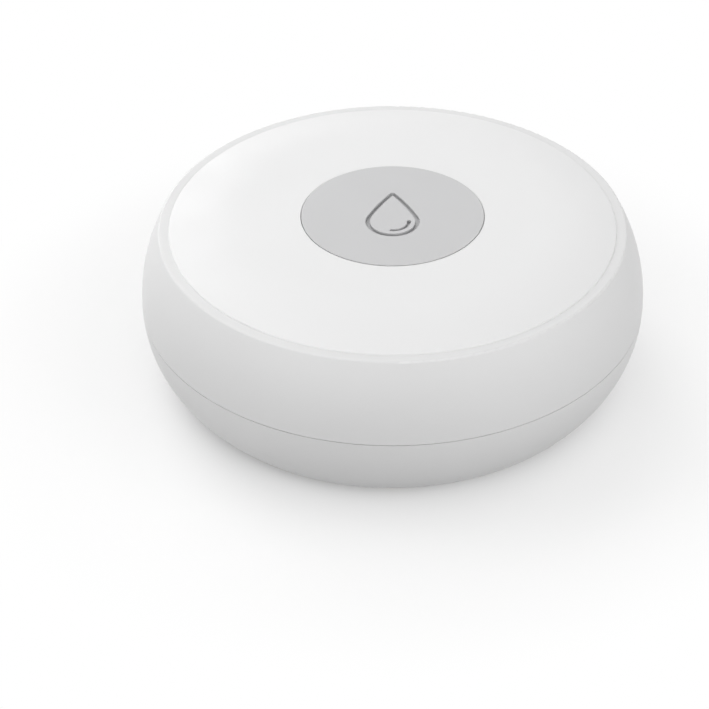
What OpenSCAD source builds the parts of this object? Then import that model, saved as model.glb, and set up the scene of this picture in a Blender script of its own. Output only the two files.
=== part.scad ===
/* [Housing] */
// Widest diameter of the housing, at the seam between its halves
body_d = 66; // [62:0.5:72]
// Height of the upper shell, from the seam to the rim
upper_h = 10.45; // [9.2:0.05:13]
// Height of the base shell, from its underside to the seam
base_h = 12.75; // [11.5:0.05:16]
// Diameter of the rim, at the outer edge of the band round the cover
rim_d = 60.4; // [58:0.1:61.5]
// Diameter of the flat underside
underside_d = 50.2; // [49.6:0.1:54]
// Wall thickness of both shells
wall = 2; // [1.6:0.1:2.4]
// Radius of the rounded outer edge of the rim
rim_round = 0.3; // [0.2:0.05:0.4]
// Height of the shadow groove at the seam
seam_gap = 0.1; // [0.1:0.05:0.4]
// Depth of the shadow groove at the seam
seam_depth = 0.6; // [0.3:0.1:1]

/* [Top cover] */
// Width of the flat band that shows round the cover
band_w = 1.3; // [1:0.05:2]
// Width of the rest of the band, which carries the cover's edge
seat_w = 1.5; // [1:0.1:2]
// Depth of the recess inside the band
recess_h = 1.7; // [1.2:0.1:2]
// Thickness of the deck under the cover
deck_t = 1.6; // [1.2:0.1:2]
// Height of the cover's edge above the band, before it is rounded
cover_edge_h = 0.15; // [0.1:0.05:0.4]
// Rise of the cover from its edge to its flat middle
cover_rise = 1; // [0.8:0.05:1.4]
// Diameter of the cover's flat middle, outside which it rolls off
cover_flat_d = 41.2; // [36:0.2:46]
// Thickness of the cover
cover_t = 1.6; // [1.2:0.1:1.8]
// Radius of the cover's rounded outer edge
cover_round = 0.2; // [0.15:0.05:0.6]

/* [Button] */
// Diameter of the button
button_d = 23.6; // [20:0.1:26]
// Gap round the button
button_gap = 0.08; // [0.08:0.02:0.3]
// Travel of the button
button_travel = 0.5; // [0.3:0.05:0.8]
// Height of the button's top above the cover
button_proud = 0.08; // [0:0.02:0.3]
// Thickness of the button's top
button_t = 1.6; // [1.2:0.1:2]
// Radius of the round lower part of the drop symbol
drop_r = 3.2; // [2.8:0.05:4]
// Height of the drop symbol, from the middle of its round part to its tip
drop_tip = 6.7; // [6.2:0.1:7.5]
// Radius of the drop symbol's curved sides
drop_side_r = 30; // [20:1:45]
// Width of the engraved line
groove_w = 0.6; // [0.3:0.05:0.7]
// Depth of the engraved line
groove_depth = 0.45; // [0.2:0.05:0.6]
// Radius of the small highlight arc in the drop symbol
glint_r = 2.1; // [1.6:0.05:2.4]

/* [Battery] */
// Diameter of the coin cell
cell_d = 24.5; // [23:0.1:25]
// Height of the coin cell
cell_h = 7.7; // [5:0.1:8.2]
// Thickness of the battery door
door_t = 2; // [1.8:0.1:2.6]
// Turn of the battery door between locked and open
door_turn = 35; // [25:1:45]
// Width of a bayonet lug, as an angle
lug_angle = 24; // [18:1:30]
// Reach of a bayonet lug beyond the door's skirt
lug_reach = 1.3; // [1:0.1:1.6]
// Radius of the coin that fits the door's slot
coin_r = 16; // [12:0.5:20]
// Width of the coin slot
coin_slot_w = 2.2; // [1.8:0.1:2.8]
// Depth of the coin slot
coin_slot_depth = 1.2; // [0.8:0.1:1.4]
// Depth of the engraved marks that show the door locked or open
mark_depth = 0.3; // [0.2:0.1:0.5]

/* [Feet and fasteners] */
// Height of the metal feet below the underside
foot_h = 0.8; // [0.5:0.1:2]
// Diameter of a metal foot
foot_d = 5.2; // [4.4:0.1:5.6]
// Diameter of a foot's shank
foot_shank_d = 2.5; // [2:0.1:3]
// Shank diameter of the screws that hold the halves together
screw_d = 2.2; // [1.8:0.1:2.6]
// Head diameter of the screws that hold the halves together
screw_head_d = 4.4; // [4:0.1:4.8]
// Shank diameter of the board's screws
pcb_screw_d = 1.6; // [1.2:0.1:2]

/* [Circuit board] */
// Thickness of the circuit board
pcb_t = 1.6; // [1:0.1:2]
// Side of the square switch body
switch_w = 6; // [5:0.5:7]
// Height of the switch body
switch_h = 3.5; // [3:0.1:4]
// Height of the plunger above the switch body
plunger_h = 2.6; // [1.5:0.1:3.5]

/* [Hidden] */
$fn = 96;
// Facets of the large arc that the cover rolls off by
roll_fn = 720;
// Overlap that lets joined or cut solids cross cleanly
cross = 0.5;
// Far end of a cut that runs out of the part
far = 100;
// Hair by which a rounding stands proud, so that its arc crosses the faces that it joins
blend = 0.002;

// Clearances
fit_gap = 0.2;
slip_gap = 0.1;
touch_gap = 0.05;

// Levels, with zero on the floor
under_z = foot_h;
seam_z = under_z + base_h;
rim_z = seam_z + upper_h;
deck_top_z = rim_z - recess_h;
deck_z = deck_top_z - deck_t;
floor_z = under_z + wall;
cover_z = rim_z + cover_edge_h + cover_rise;
button_z = cover_z + button_proud;

// Arcs of the housing's wall: upright at the seam, through the rim and through the underside's edge
body_r = body_d / 2;
rim_r = rim_d / 2;
underside_r = underside_d / 2;
upper_arc_r = (pow(upper_h, 2) + pow(body_r - rim_r, 2)) / (2 * (body_r - rim_r));
base_arc_r = (pow(base_h, 2) + pow(body_r - underside_r, 2)) / (2 * (body_r - underside_r));

// Cover, its rolled-off zone and the spigot that centres it in the recess
cover_r = rim_r - band_w;
cover_flat_r = cover_flat_d / 2;
roll_w = cover_r - cover_flat_r;
roll_r = (pow(roll_w, 2) + pow(cover_rise, 2)) / (2 * cover_rise);
roll_z = cover_z - roll_r;
spigot_r = cover_r - seat_w;
recess_r = spigot_r + fit_gap;
skirt_w = 2;
rib_w = 1;
rib_count = 6;
hole_round = 0.05;

// Button, its guide collar and its lip
button_r = button_d / 2;
button_hole_r = button_r + button_gap;
button_round = 0.04;
collar_t = 1.6;
collar_r = button_hole_r + collar_t;
collar_drop = 0.4;
collar_z = deck_z - collar_drop;
deck_hole_r = collar_r + fit_gap;
button_skirt_t = 1.2;
lip_t = 0.8;
lip_reach = 1;
lip_gap = 0.15;
lip_r = button_r + lip_reach;
lip_top_z = collar_z - lip_gap;
lip_z = lip_top_z - lip_t;
stem_r = 2.2;
button_seal_d = 0.8;
button_seal_z = deck_top_z + button_seal_d / 2;
button_seal_r = button_hole_r + button_seal_d / 2;
groove_floor_z = button_z - groove_depth;
drop_shift = -1.73;
// Reach of the line beyond the symbol's tip, where its corner is blunt
drop_blunt = 0.16;
// The side strokes are a hair narrower than the round stroke and start just inside it
stroke_step = 0.02;
stroke_tuck = 0.6;
stroke_end = 80;
glint_w = 0.46;
glint_dot = 0.66;
glint_from = -95;
glint_to = -2;

// Drop symbol: centre of the arc of its right side, tangent to the round part and through the tip
drop_arc_y = (pow(drop_tip, 2) + pow(drop_r, 2) - 2 * drop_side_r * drop_r) / (2 * drop_tip);
drop_arc_x = sqrt(pow(drop_side_r - drop_r, 2) - pow(drop_arc_y, 2));
drop_tangent = atan2(-drop_arc_y, drop_arc_x);

// Snap fingers between the cover and the deck
finger_t = 1.2;
finger_w = 5;
finger_barb = 0.6;
finger_tip = 1.2;
finger_r = (deck_hole_r + recess_r) / 2;
finger_slot_in = 0.7;

// Battery, its door and the bayonet
cell_r = cell_d / 2;
cell_room = 1.45;
cell_lift = 0.3;
cell_cap_h = 0.8;
cell_cap_in = 1.6;
cell_round = 0.5;
door_recess = 0.2;
door_z = under_z + door_recess;
door_top_z = door_z + door_t;
door_skirt_t = 1.8;
door_skirt_h = 2.2;
door_r = cell_r + cell_room + door_skirt_t;
door_edge = 0.3;
door_hole_r = door_r + fit_gap;
lug_count = 3;
lug_h = 1.2;
lug_r = door_r + lug_reach;
lug_top_z = door_top_z + door_skirt_h - slip_gap;
lug_z = lug_top_z - lug_h;
lug_angle_gap = 1.5;
lug_track_r = lug_r + fit_gap;
door_collar_t = 1.4;
door_collar_roof = 1;
door_collar_r = lug_track_r + door_collar_t;
door_collar_z = lug_top_z + fit_gap + door_collar_roof;
door_seal_d = 0.8;
door_seal_z = door_z + door_t / 2;
door_seal_depth = 0.7;
mark_angle = 180;
mark_w = 1.2;
mark_line_w = 0.4;
mark_len = 3;
mark_edge = 1;
mark_ring_r = door_hole_r + 1.5 * mark_w;
cell_z = door_top_z + cell_lift;
cell_top_z = cell_z + cell_h;

// Holder and board
holder_gap = 0.3;
holder_t = 1.75;
holder_plate_t = 1;
holder_r = cell_r + holder_gap;
holder_out_r = holder_r + holder_t;
holder_lift = 0.8;
holder_z = door_top_z + door_skirt_h + holder_lift;
holder_window_r = 7;
contact_room = 0.6;
holder_plate_z = cell_top_z + contact_room;
pcb_z = holder_plate_z + holder_plate_t;
pcb_top_z = pcb_z + pcb_t;
peg_inset = 0.15;
peg_r = holder_t / 2 - peg_inset;
peg_head_reach = 0.5;
peg_head_r = peg_r + peg_head_reach;
peg_head_h = 0.7;
peg_angles = [60, 240];
peg_ring_r = (holder_r + holder_out_r) / 2;

// Tongue of the base inside the upper shell, and its seal
tongue_t = 1.3;
tongue_h = 2;
tongue_gap = 0.25;
tongue_r = body_r - wall - tongue_gap;
tongue_in_r = tongue_r - tongue_t;
tongue_root_h = 2;
shell_seal_d = 0.75;
shell_seal_z = seam_z + tongue_h / 2;
shell_seal_depth = 0.75;

// Ring of feet and screws on the underside
ring_r = (door_collar_r + underside_r) / 2;
screw_angles = [90, 210, 330];
foot_angles = [30, 150, 270];
screw_r = screw_d / 2;
screw_head_r = screw_head_d / 2;
screw_head_h = 1.6;
screw_grip = 7;
screw_bore_r = screw_r + slip_gap;
screw_recess_r = screw_head_r + fit_gap;
screw_seat_z = seam_z - screw_grip;
screw_bite = 4;
pillar_t = 0.9;
pillar_r = screw_recess_r + pillar_t;
boss_t = 1.7;
boss_r = screw_bore_r + boss_t;
bore_spare = 1;
drive_w = 0.5;
drive_depth = 0.9;

// Board outline and its own screws
pcb_room = 2.5;
pcb_r = tongue_in_r - pcb_room;
pillar_clear = 0.4;
post_angles = [0, 120, 240];
post_edge = 3;
post_ring_r = pcb_r - post_edge;
pcb_screw_r = pcb_screw_d / 2;
pcb_screw_head_reach = 1;
pcb_screw_head_r = pcb_screw_r + pcb_screw_head_reach;
pcb_screw_head_h = 1.2;
pcb_screw_len = 6;
post_t = 1.4;
post_r = pcb_screw_r + post_t;
post_bore_spare = 0.5;

// Probe feet
foot_r = foot_d / 2;
foot_shank_r = foot_shank_d / 2;
foot_sink = 0.6;
foot_round = 0.5;
foot_bore_r = foot_shank_r + slip_gap;
foot_seal_d = 0.7;
foot_seal_room = 0.8;
foot_boss_t = 1.2;
foot_boss_r = foot_bore_r + foot_seal_d + foot_boss_t;
foot_seat_z = under_z + foot_sink;
foot_boss_h = 2;
foot_boss_z = floor_z + foot_boss_h;
retainer_t = 0.5;
retainer_inset = 0.4;
retainer_r = foot_boss_r - retainer_inset;
foot_tail = 3;
foot_top_z = foot_boss_z + retainer_t + foot_tail;

// Stamped strips
strip_t = 0.2;
cell_strip_t = 0.25;

// Switch
plunger_r = 1.7;
switch_bore_r = plunger_r + fit_gap;
switch_floor = 0.5;
plunger_spare = 0.4;
plunger_top_z = pcb_top_z + switch_h + plunger_h;
plunger_z = pcb_top_z + switch_floor + button_travel + plunger_spare;

// Half profile of the housing's upper half, drawn in by inset from the outside
module upper_half_2d(inset) {
    intersection() {
        translate([body_r - upper_arc_r, seam_z])
            circle(upper_arc_r - inset, $fn = 360);
        translate([0, seam_z])
            square([far, far]);
    }
    translate([0, seam_z])
        square([body_r - upper_arc_r, upper_arc_r - inset]);
}

// Half profile of the housing's lower half, drawn in by inset from the outside
module base_half_2d(inset) {
    intersection() {
        translate([body_r - base_arc_r, seam_z])
            circle(base_arc_r - inset, $fn = 360);
        translate([0, seam_z - far])
            square([far, far]);
    }
    translate([0, seam_z - base_arc_r + inset])
        square([body_r - base_arc_r, base_arc_r - inset]);
}

// Half profile between two radii and two heights
module band_2d(r1, r2, z1, z2) {
    translate([r1, z1])
        square([r2 - r1, z2 - z1]);
}

// Half profile under the cover's top, drawn in by inset, between two radii and above a height
module under_cover_2d(inset, r1, r2, z1) {
    band_2d(r1, cover_flat_r, z1, cover_z - inset);
    intersection() {
        translate([cover_flat_r, roll_z])
            circle(roll_r - inset, $fn = roll_fn);
        band_2d(cover_flat_r, r2, z1, cover_z);
    }
}

// Replaces the corner of a profile by an arc of radius r about the point at
module rounded_corner(at, r, from, corner, to) {
    difference() {
        union()
            children();
        polygon([at, from, corner, to]);
    }
    translate(at)
        circle(r + blend, $fn = 48);
}

// Wedge of the plane between two angles
module wedge_2d(a1, a2) {
    polygon([[0, 0], far * [cos(a1), sin(a1)], far * [cos((a1 + a2) / 2), sin((a1 + a2) / 2)],
             far * [cos(a2), sin(a2)]]);
}

// Piece of a ring between two angles
module ring_sector(r1, r2, a1, a2, z1, z2) {
    translate([0, 0, z1])
        linear_extrude(z2 - z1)
            intersection() {
                difference() {
                    circle(r2);
                    circle(r1);
                }
                wedge_2d(a1, a2);
            }
}

// Puts its children at a radius and at each of the angles, turned outwards
module around(r, angles) {
    for (a = angles)
        rotate([0, 0, a])
            translate([r, 0, 0])
                children();
}

// Round bar between two heights
module rod(r, z1, z2) {
    translate([0, 0, z1])
        cylinder(r = r, h = z2 - z1);
}

// Seal ring of a given section
module seal_ring(ring_mid_r, section_d, z) {
    rotate_extrude()
        translate([ring_mid_r, z])
            circle(d = section_d, $fn = 32);
}

// Unit normal of the line from a to b
function across(a, b) = [a[1] - b[1], b[0] - a[0]] / norm(b - a);

// Offset of point i of a line by half a thickness, mitred at the bends
function mitre(p, i, half) =
    let (n1 = across(p[max(i - 1, 0)], p[max(i, 1)]),
         last = len(p) - 1,
         n2 = across(p[min(i, last - 1)], p[min(i + 1, last)]))
    p[i] + half * (n1 + n2) / (1 + n1 * n2);

// Closed outline of a bent strip along the points p
function strip_outline(p, t) = concat(
    [for (i = [0 : len(p) - 1]) mitre(p, i, t / 2)],
    [for (i = [len(p) - 1 : -1 : 0]) mitre(p, i, -t / 2)]);

// Bent strip in the plane of the radius and the height, of a given width
module bent_strip(p, t, width) {
    rotate([90, 0, 0])
        translate([0, 0, -width / 2])
            linear_extrude(width)
                polygon(strip_outline(p, t));
}

// Ring about the origin, of the engraved line's width
module line_ring_2d(r, width, facets) {
    difference() {
        circle(r + width / 2, $fn = facets);
        circle(r - width / 2, $fn = facets);
    }
}

// Right side of the drop symbol's line, from where it leaves the round part up to the tip
module drop_side_2d() {
    intersection() {
        translate([-drop_arc_x, drop_arc_y])
            intersection() {
                line_ring_2d(drop_side_r, groove_w - stroke_step, 360);
                wedge_2d(drop_tangent - stroke_tuck, stroke_end);
            }
        square([far, drop_tip + drop_blunt]);
    }
}

// Round part of the drop symbol's line
module drop_round_2d() {
    difference() {
        line_ring_2d(drop_r, groove_w, 96);
        wedge_2d(drop_tangent, 180 - drop_tangent);
    }
}

// Highlight arc in the drop symbol
module glint_2d() {
    intersection() {
        line_ring_2d(glint_r, glint_w, 96);
        wedge_2d(glint_from, glint_to);
    }
    rotate(glint_from)
        translate([glint_r, 0])
            circle(d = glint_w, $fn = 24);
    rotate(glint_to)
        translate([glint_r, 0])
            circle(d = glint_dot, $fn = 24);
}

// Cut of one stroke of the drop symbol into the button's top
module engraved() {
    translate([0, drop_shift, groove_floor_z])
        linear_extrude(far)
            children();
}

// Wall of the upper shell, rounded outside at the rim
module upper_wall_2d() {
    round_z = rim_z - rim_round;
    arc_x = body_r - upper_arc_r;
    round_x = arc_x + sqrt(pow(upper_arc_r - rim_round, 2) - pow(round_z - seam_z, 2));
    out = [round_x - arc_x, round_z - seam_z] / (upper_arc_r - rim_round);
    on_arc = [arc_x, seam_z] + upper_arc_r * out;
    rounded_corner([round_x, round_z], rim_round, [round_x, rim_z + rim_round],
                   [round_x + far, rim_z + far], on_arc + rim_round * out)
        intersection() {
            upper_half_2d(0);
            band_2d(0, far, seam_z, rim_z);
        }
}

module upper_shell() {
    color("white")
    difference() {
        union() {
            rotate_extrude($fn = 180)
                difference() {
                    upper_wall_2d();
                    intersection() {
                        upper_half_2d(wall);
                        band_2d(0, far, seam_z - cross, deck_z);
                    }
                    band_2d(0, recess_r, deck_top_z, rim_z + cross);
                    band_2d(0, deck_hole_r, deck_z - cross, rim_z);
                    band_2d(body_r - seam_depth, body_r + cross, seam_z - cross, seam_z + seam_gap);
                }
            around(ring_r, screw_angles)
                rod(boss_r, seam_z, deck_z + deck_t / 2);
        }
        around(ring_r, screw_angles)
            rod(screw_bore_r, seam_z - cross, seam_z + screw_bite + bore_spare);
        around(finger_r, foot_angles)
            translate([-finger_slot_in, -finger_w / 2 - fit_gap, deck_z - cross])
                cube([finger_slot_in + finger_t + slip_gap, finger_w + 2 * fit_gap, deck_t + 2 * cross]);
    }
}

// Plate of the cover: its edge is rounded down on to the band, and so is the edge of the button's hole
module cover_outline_2d() {
    middle = [cover_flat_r, roll_z];
    foot = [cover_r, rim_z];
    reach = norm(foot - middle);
    inner_r = roll_r - cover_round;
    turn = acos((pow(inner_r, 2) + pow(reach, 2) - pow(cover_round, 2)) / (2 * inner_r * reach));
    out_angle = atan2(foot[1] - middle[1], foot[0] - middle[0]) + turn;
    out = [cos(out_angle), sin(out_angle)];
    at = middle + inner_r * out;
    hole_at = [button_hole_r + hole_round, cover_z - hole_round];
    intersection() {
        rounded_corner(hole_at, hole_round, hole_at - [2 * hole_round, 0], hole_at + [-far, far],
                       hole_at + [0, 2 * hole_round])
            rounded_corner(at, cover_round, at + 2 * (foot - at), at + [far, 2 * far],
                           at + 2 * cover_round * out)
                under_cover_2d(0, button_hole_r, cover_r, rim_z);
        band_2d(0, far, rim_z, far);
    }
}

module top_cover() {
    finger_top_z = cover_z - cover_t / 2;
    finger_profile = [[0, finger_top_z], [finger_t, finger_top_z],
                      [finger_t, deck_z - touch_gap], [finger_t + finger_barb, deck_z - touch_gap],
                      [finger_t, deck_z - finger_tip], [0, deck_z - finger_tip]];
    color("white")
    union() {
        rotate_extrude($fn = 180)
            difference() {
                union() {
                    cover_outline_2d();
                    band_2d(button_hole_r, spigot_r, deck_top_z + slip_gap, rim_z);
                    band_2d(button_hole_r, collar_r, collar_z, rim_z);
                }
                under_cover_2d(cover_t, collar_r, spigot_r - skirt_w, deck_top_z - cross);
                band_2d(button_hole_r - cross, button_seal_r + button_seal_d / 2 + touch_gap,
                        button_seal_z - button_seal_d / 2, button_seal_z + button_seal_d / 2);
            }
        intersection() {
            for (i = [0 : rib_count - 1])
                rotate([0, 0, 360 * i / rib_count])
                    translate([collar_r - cross, -rib_w / 2, deck_top_z + slip_gap])
                        cube([spigot_r - skirt_w - collar_r + 2 * cross, rib_w, far]);
            rotate_extrude($fn = 180)
                under_cover_2d(cover_t / 2, 0, cover_r, deck_top_z);
        }
        around(finger_r, foot_angles)
            rotate([90, 0, 0])
                translate([0, 0, -finger_w / 2])
                    linear_extrude(finger_w)
                        polygon(finger_profile);
    }
}

module button_cap() {
    edge_at = [button_r - button_round, button_z - button_round];
    color("lightgray")
    difference() {
        rotate_extrude($fn = 180)
            rounded_corner(edge_at, button_round, edge_at + [0, 2 * button_round], edge_at + [far, far],
                           edge_at + [2 * button_round, 0]) {
                band_2d(0, button_r, button_z - button_t, button_z);
                band_2d(button_r - button_skirt_t, button_r, lip_z, button_z);
                band_2d(button_r - button_skirt_t, lip_r, lip_z, lip_top_z);
                band_2d(0, stem_r, plunger_top_z, button_z);
            }
        engraved()
            drop_round_2d();
        engraved()
            drop_side_2d();
        engraved()
            mirror([1, 0])
                drop_side_2d();
        engraved()
            glint_2d();
    }
}

module button_seal() {
    color("dimgray")
    seal_ring(button_seal_r, button_seal_d - slip_gap, button_seal_z);
}

module switch_body() {
    leg_w = 0.7;
    leg_reach = 1;
    leg_t = 0.2;
    rivet_r = 0.45;
    rivet_h = 0.15;
    rivet_at = switch_w / 2 - 0.9;
    color("black")
    difference() {
        union() {
            translate([-switch_w / 2, -switch_w / 2, pcb_top_z])
                cube([switch_w, switch_w, switch_h]);
            for (x = [-1, 1], y = [-1, 1]) {
                translate([x * rivet_at, y * rivet_at, 0])
                    rod(rivet_r, pcb_top_z + switch_h / 2, pcb_top_z + switch_h + rivet_h);
                translate([x * (switch_w + leg_reach) / 2 - leg_reach, y * rivet_at - leg_w / 2, pcb_top_z])
                    cube([2 * leg_reach, leg_w, leg_t]);
            }
        }
        rod(switch_bore_r, pcb_top_z + switch_floor, pcb_top_z + switch_h + cross);
    }
}

module switch_plunger() {
    color("gray")
    rod(plunger_r, plunger_z, plunger_top_z);
}

module main_pcb() {
    color("seagreen")
    translate([0, 0, pcb_z])
        linear_extrude(pcb_t)
            difference() {
                circle(pcb_r, $fn = 180);
                around(ring_r, screw_angles)
                    circle(max(pillar_r, boss_r) + pillar_clear);
                around(post_ring_r, post_angles)
                    circle(pcb_screw_r + fit_gap);
                around(peg_ring_r, peg_angles)
                    circle(peg_r + slip_gap);
            }
}

// Radio module: where its board lies and how large it is
radio_at = [-12.5, 7.2];
radio_size = [12, 16];
radio_board_t = 0.8;
radio_shield_h = 2;
radio_shield_t = 0.25;
radio_margin = 0.9;
pad_r = 0.35;
pad_pitch = 1.6;
pad_count = 8;

module radio_board() {
    color("darkgreen")
    translate([radio_at[0], radio_at[1], pcb_top_z])
        linear_extrude(radio_board_t)
            difference() {
                square(radio_size, center = true);
                for (side = [-1, 1], i = [0 : pad_count - 1])
                    translate([side * radio_size[0] / 2, (i - (pad_count - 1) / 2) * pad_pitch])
                        circle(pad_r, $fn = 24);
            }
}

module radio_shield() {
    can = [radio_size[0] - 2 * radio_margin, radio_size[1] - 4 * radio_margin];
    vent_r = 0.4;
    vent_pitch = 2.4;
    color("silver")
    translate([radio_at[0], radio_at[1], pcb_top_z + radio_board_t])
        difference() {
            linear_extrude(radio_shield_h)
                square(can, center = true);
            translate([0, 0, -cross])
                linear_extrude(radio_shield_h - radio_shield_t + cross)
                    square(can - 2 * [radio_shield_t, radio_shield_t], center = true);
            for (x = [-1 : 1], y = [-1 : 1])
                translate([x * vent_pitch, y * vent_pitch, 0])
                    rod(vent_r, radio_shield_h - cross, radio_shield_h + cross);
        }
}

// Block on the board, at an angle and a radius
module board_block(r, angle, size) {
    rotate([0, 0, angle])
        translate([r, 0, pcb_top_z + size[2] / 2])
            cube(size, center = true);
}

module chip_antenna() {
    antenna_w = 2;
    antenna_len = 7;
    antenna_h = 1.2;
    edge_in = 3;
    color("lightblue")
    board_block(pcb_r - edge_in, 60, [antenna_w, antenna_len, antenna_h]);
}

module controller_chip() {
    chip_w = 6;
    chip_h = 0.9;
    dot_r = 0.35;
    dot_depth = 0.1;
    dot_in = 0.9;
    color("black")
    difference() {
        board_block(ring_r / 2, 270, [chip_w, chip_w, chip_h]);
        rotate([0, 0, 270])
            translate([ring_r / 2 - chip_w / 2 + dot_in, chip_w / 2 - dot_in, 0])
                rod(dot_r, pcb_top_z + chip_h - dot_depth, far);
    }
}

module crystal() {
    base_w = 1.5;
    base_len = 3.2;
    base_t = 0.5;
    lid_in = 0.2;
    lid_h = 0.8;
    beside_chip = 6;
    at_r = ring_r / 2 + beside_chip;
    color("silver")
    union() {
        board_block(at_r, 290, [base_w, base_len, base_t]);
        board_block(at_r, 290, [base_w - 2 * lid_in, base_len - 2 * lid_in, lid_h]);
    }
}

module storage_capacitor() {
    can_r = 2.5;
    can_h = 3.4;
    foot_w = 5.3;
    base_t = 0.6;
    neck_h = 0.5;
    neck_depth = 0.25;
    neck_z = pcb_top_z + base_t + 2 * neck_h;
    at_r = 15.6;
    color("silver")
    union() {
        board_block(at_r, 30, [foot_w, foot_w, base_t]);
        around(at_r, [30])
            rotate_extrude()
                difference() {
                    band_2d(0, can_r, pcb_top_z + base_t / 2, pcb_top_z + base_t + can_h);
                    band_2d(can_r - neck_depth, can_r + cross, neck_z - neck_h, neck_z);
                }
    }
}

module status_led() {
    lens_r = 0.6;
    lens_h = 0.9;
    led_w = 1.6;
    led_len = 3.2;
    led_t = 0.5;
    skirt_in = 3.5;
    at_r = button_r - button_skirt_t - skirt_in;
    color("lightyellow")
    union() {
        board_block(at_r, 0, [led_w, led_len, led_t]);
        around(at_r, [0])
            rod(lens_r, pcb_top_z + led_t / 2, pcb_top_z + lens_h);
    }
}

// Widths of the stamped strips
cell_strip_w = 4;
probe_strip_w = 2.4;
slot_gap = 0.5;

module battery_holder() {
    color("ivory")
    difference() {
        union() {
            rotate_extrude() {
                band_2d(holder_r, holder_out_r, holder_z, pcb_z);
                band_2d(holder_window_r, holder_r + cross, holder_plate_z, pcb_z);
            }
            around(peg_ring_r, peg_angles) {
                rod(peg_r, pcb_z - cross, pcb_top_z + peg_head_h);
                rod(peg_head_r, pcb_top_z, pcb_top_z + peg_head_h);
            }
        }
        translate([0, -cell_strip_w / 2 - slot_gap, holder_z - cross])
            cube([far, cell_strip_w + 2 * slot_gap, far]);
    }
}

module coin_cell() {
    cap_r = cell_r - cell_cap_in;
    rim_top_z = cell_top_z - cell_cap_h;
    color("gainsboro")
    rotate_extrude()
        difference() {
            union() {
                band_2d(0, cell_r, cell_z, rim_top_z);
                band_2d(0, cap_r, cell_z, cell_top_z);
            }
            polygon([[cell_r - cell_round, cell_z - cross], [cell_r - cell_round, cell_z],
                     [cell_r, cell_z + cell_round], [cell_r + cross, cell_z + cell_round],
                     [cell_r + cross, cell_z - cross]]);
        }
}

module positive_contact() {
    foot_z = pcb_z - cell_strip_t / 2;
    touch_r = cell_r + cell_strip_t / 2 + slip_gap;
    foot_len = 3.6;
    foot_out = 0.4;
    touch_lift = 2;
    bend = [1.2, 1.6];
    tip = [0.9, -1.3];
    touch = [touch_r, holder_z + touch_lift];
    heel = [holder_out_r + foot_out, foot_z];
    color("gold")
    bent_strip([heel + [foot_len, 0], heel, touch + bend, touch, touch + tip], cell_strip_t, cell_strip_w);
}

module negative_contact() {
    foot_z = pcb_z - cell_strip_t / 2;
    touch_z = cell_top_z + cell_strip_t / 2 + touch_gap;
    reach = holder_window_r - cell_strip_w / 2;
    tip = [1.8, 0.4];
    touch = [reach / 3, touch_z];
    color("gold")
    bent_strip([[-reach, foot_z], [-reach / 2, foot_z], touch, touch + tip], cell_strip_t, cell_strip_w);
}

module base_shell() {
    color("white")
    difference() {
        union() {
            rotate_extrude($fn = 180) {
                difference() {
                    intersection() {
                        base_half_2d(0);
                        band_2d(0, far, under_z, seam_z);
                    }
                    intersection() {
                        base_half_2d(wall);
                        band_2d(0, far, floor_z, seam_z + cross);
                    }
                }
                band_2d(tongue_in_r, tongue_r, seam_z - tongue_root_h, seam_z + tongue_h);
                band_2d(tongue_in_r, body_r - wall / 2 - seam_depth, seam_z - tongue_root_h, seam_z);
            }
            intersection() {
                union() {
                    rod(door_collar_r, under_z, door_collar_z);
                    around(ring_r, screw_angles)
                        rod(pillar_r, under_z, seam_z);
                    around(post_ring_r, post_angles)
                        rod(post_r, under_z, pcb_z);
                    around(ring_r, foot_angles)
                        rod(foot_boss_r, under_z, foot_boss_z);
                }
                rotate_extrude($fn = 180)
                    intersection() {
                        base_half_2d(wall / 2);
                        band_2d(0, far, under_z, seam_z);
                    }
            }
        }
        rotate_extrude()
            translate([tongue_r, shell_seal_z])
                square([2 * shell_seal_depth, shell_seal_d + slip_gap], center = true);
        rod(door_hole_r, under_z - cross, door_collar_z + cross);
        for (i = [0 : lug_count - 1])
            rotate([0, 0, 360 * i / lug_count]) {
                ring_sector(door_hole_r - cross, lug_track_r, -door_turn - lug_angle / 2 - lug_angle_gap,
                            lug_angle / 2 + lug_angle_gap, lug_z - fit_gap, lug_top_z + fit_gap);
                ring_sector(door_hole_r - cross, lug_track_r, -door_turn - lug_angle / 2 - lug_angle_gap,
                            -door_turn + lug_angle / 2 + lug_angle_gap, under_z - cross, lug_top_z + fit_gap);
            }
        around(ring_r, screw_angles) {
            rod(screw_bore_r, under_z - cross, seam_z + cross);
            rod(screw_recess_r, under_z - cross, screw_seat_z);
        }
        around(mark_ring_r, [mark_angle])
            rod(mark_w / 2, under_z - cross, under_z + mark_depth);
        around(mark_ring_r, [mark_angle - door_turn])
            translate([0, 0, under_z - cross])
                linear_extrude(mark_depth + cross)
                    line_ring_2d(mark_w / 2, mark_line_w, 48);
        around(post_ring_r, post_angles)
            rod(pcb_screw_r + touch_gap, pcb_z - pcb_screw_len - post_bore_spare, pcb_z + cross);
        around(ring_r, foot_angles) {
            rod(foot_r + fit_gap, under_z - cross, foot_seat_z);
            rod(foot_bore_r + foot_seal_d, under_z - cross, foot_seat_z + foot_seal_room);
            rod(foot_bore_r, under_z - cross, foot_boss_z + cross);
        }
    }
}

module shell_seal() {
    color("dimgray")
    seal_ring(tongue_r - shell_seal_depth / 2, shell_seal_d - slip_gap, shell_seal_z);
}

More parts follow.
